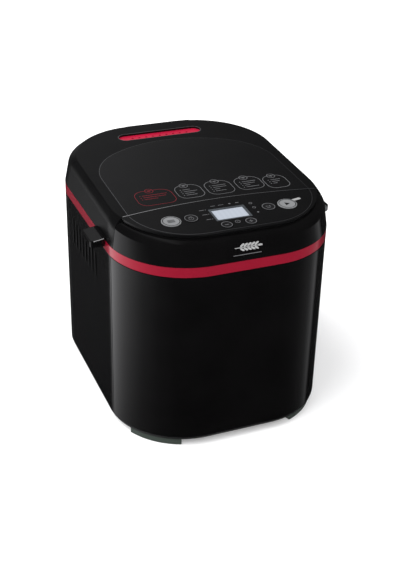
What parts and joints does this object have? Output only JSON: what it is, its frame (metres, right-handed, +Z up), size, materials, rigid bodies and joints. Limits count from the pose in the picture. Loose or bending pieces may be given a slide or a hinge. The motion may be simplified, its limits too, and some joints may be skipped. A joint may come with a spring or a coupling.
{
  "type": "bread machine",
  "caption": "Countertop bread machine: deep black body with a red band, hinged drafted lid, fixed control panel with buttons, lift-out pan and kneading paddle.",
  "frame": {"origin": "on the floor under the middle of the body", "axes": "+Z up, +Y towards the hinge side, control panel faces -Y, +X to the right seen from the front"},
  "size_m": [0.294, 0.318, 0.2782],
  "materials": {
    "gloss_black": "piano-black gloss",
    "shell_black": "smooth semi-gloss",
    "satin_black": "fine satin grain",
    "inlay_black": "smooth semi-gloss film",
    "deck_black": "moulded, matte",
    "band_red": "metallic crimson",
    "vent_red": "translucent red gloss",
    "button_silver": "satin silver",
    "button_black": "gloss",
    "display": "clear window over a grey display",
    "board_green": "solder resist",
    "steel": "drawn and brushed",
    "oven_sheet": "aluminised sheet",
    "pan_coating": "dark non-stick coating",
    "liner_metal": "satin",
    "bronze": "sintered",
    "ceramic": "unglazed ceramic",
    "rubber": "matte",
    "foot_grey": "soft grey-black",
    "motor_metal": "laminations and paint",
    "copper_wound": "varnished winding and core",
    "element_black": "oxidised tube",
    "capacitor": "sleeve"
  },
  "bodies": {
    "housing": {"base_tray": "deck_black", "foot_front_left": "foot_grey", "foot_front_right": "foot_grey", "foot_rear_left": "foot_grey", "foot_rear_right": "foot_grey", "rear_shell": "shell_black", "side_panel_left": "shell_black", "side_panel_right": "shell_black", "front_panel": "gloss_black", "red_band": "band_red", "front_fascia": "gloss_black", "control_panel": "inlay_black", "display_window": "display", "display_module": "button_black", "control_board": "board_green", "button_switches": "steel", "deck": "deck_black", "hinge_pins": "steel", "oven_chamber": "oven_sheet", "heating_element": "element_black", "element_bushes": "ceramic", "temperature_probe": "steel", "thermal_fuse": "ceramic", "pan_clips": "steel", "chassis_plate": "steel", "oven_standoffs": "steel", "bearing_housing": "steel", "shaft_bushes": "bronze", "motor_stator": "motor_metal", "motor_grommets": "rubber", "drive_belt": "rubber", "power_board": "board_green", "transformer": "copper_wound", "motor_capacitor": "capacitor", "cord_gland": "rubber", "tray_screws": "steel", "chassis_screws": "steel"},
    "drive": {"drive_shaft": "steel", "drive_pulley": "button_black", "drive_coupling": "steel"},
    "rotor": {"motor_rotor": "steel", "motor_pulley": "button_black"},
    "pan": {"bread_pan": "pan_coating", "pan_skirt": "steel", "pan_bush": "bronze"},
    "spindle": {"pan_spindle": "steel", "pan_coupling": "steel"},
    "paddle": {"kneading_paddle": "pan_coating"},
    "handle": {"pan_handle": "steel"},
    "lid": {"lid_shell": "satin_black", "lid_inlay": "inlay_black", "lid_liner": "liner_metal", "steam_vent": "vent_red", "lid_screws": "steel"},
    "menu": {"button_menu": "button_silver"},
    "weight": {"button_weight": "button_black"},
    "minus": {"button_minus": "button_black"},
    "plus": {"button_plus": "button_black"},
    "crust": {"button_crust": "button_black"},
    "start": {"button_start": "button_silver"}
  },
  "joints": [
    {"name": "lid_hinge", "type": "hinge", "parent": "housing", "child": "lid", "pos_m": [0, 0.148, 0.2455], "axis": [-1, 0, 0], "range_deg": [0, 92]},
    {"name": "drive_spin", "type": "hinge", "parent": "housing", "child": "drive", "pos_m": [0, 0.03, 0.04], "axis": [0, 0, 1], "continuous": true},
    {"name": "motor_spin", "type": "hinge", "parent": "housing", "child": "rotor", "pos_m": [0.06, -0.104, 0.06], "axis": [0, 0, 1], "continuous": true},
    {"name": "pan_lift", "type": "slide", "parent": "housing", "child": "pan", "axis": [0, 0, 1], "range_m": [0, 0.008]},
    {"name": "spindle_spin", "type": "hinge", "parent": "pan", "child": "spindle", "pos_m": [0, 0.03, 0.08], "axis": [0, 0, 1], "continuous": true},
    {"name": "paddle_lift", "type": "slide", "parent": "spindle", "child": "paddle", "axis": [0, 0, 1], "range_m": [0, 0.024]},
    {"name": "handle_swing", "type": "hinge", "parent": "pan", "child": "handle", "pos_m": [0, 0.03, 0.197], "axis": [-1, 0, 0], "range_deg": [0, 180]},
    {"name": "menu_press", "type": "slide", "parent": "housing", "child": "menu", "axis": [0, 0.0628, -0.998], "range_m": [0, 0.0007], "stiffness_N_per_m": 400, "springref_m": -0.001},
    {"name": "weight_press", "type": "slide", "parent": "housing", "child": "weight", "axis": [0, 0.0628, -0.998], "range_m": [0, 0.0007], "stiffness_N_per_m": 400, "springref_m": -0.001},
    {"name": "minus_press", "type": "slide", "parent": "housing", "child": "minus", "axis": [0, 0.0628, -0.998], "range_m": [0, 0.0007], "stiffness_N_per_m": 400, "springref_m": -0.001},
    {"name": "plus_press", "type": "slide", "parent": "housing", "child": "plus", "axis": [0, 0.0628, -0.998], "range_m": [0, 0.0007], "stiffness_N_per_m": 400, "springref_m": -0.001},
    {"name": "crust_press", "type": "slide", "parent": "housing", "child": "crust", "axis": [0, 0.0628, -0.998], "range_m": [0, 0.0007], "stiffness_N_per_m": 400, "springref_m": -0.001},
    {"name": "start_press", "type": "slide", "parent": "housing", "child": "start", "axis": [0, 0.0628, -0.998], "range_m": [0, 0.0007], "stiffness_N_per_m": 400, "springref_m": -0.001}
  ],
  "couplings": [
    {"joint": "motor_spin", "follows": "drive_spin", "ratio": 5},
    {"joint": "spindle_spin", "follows": "drive_spin", "ratio": 1}
  ]
}
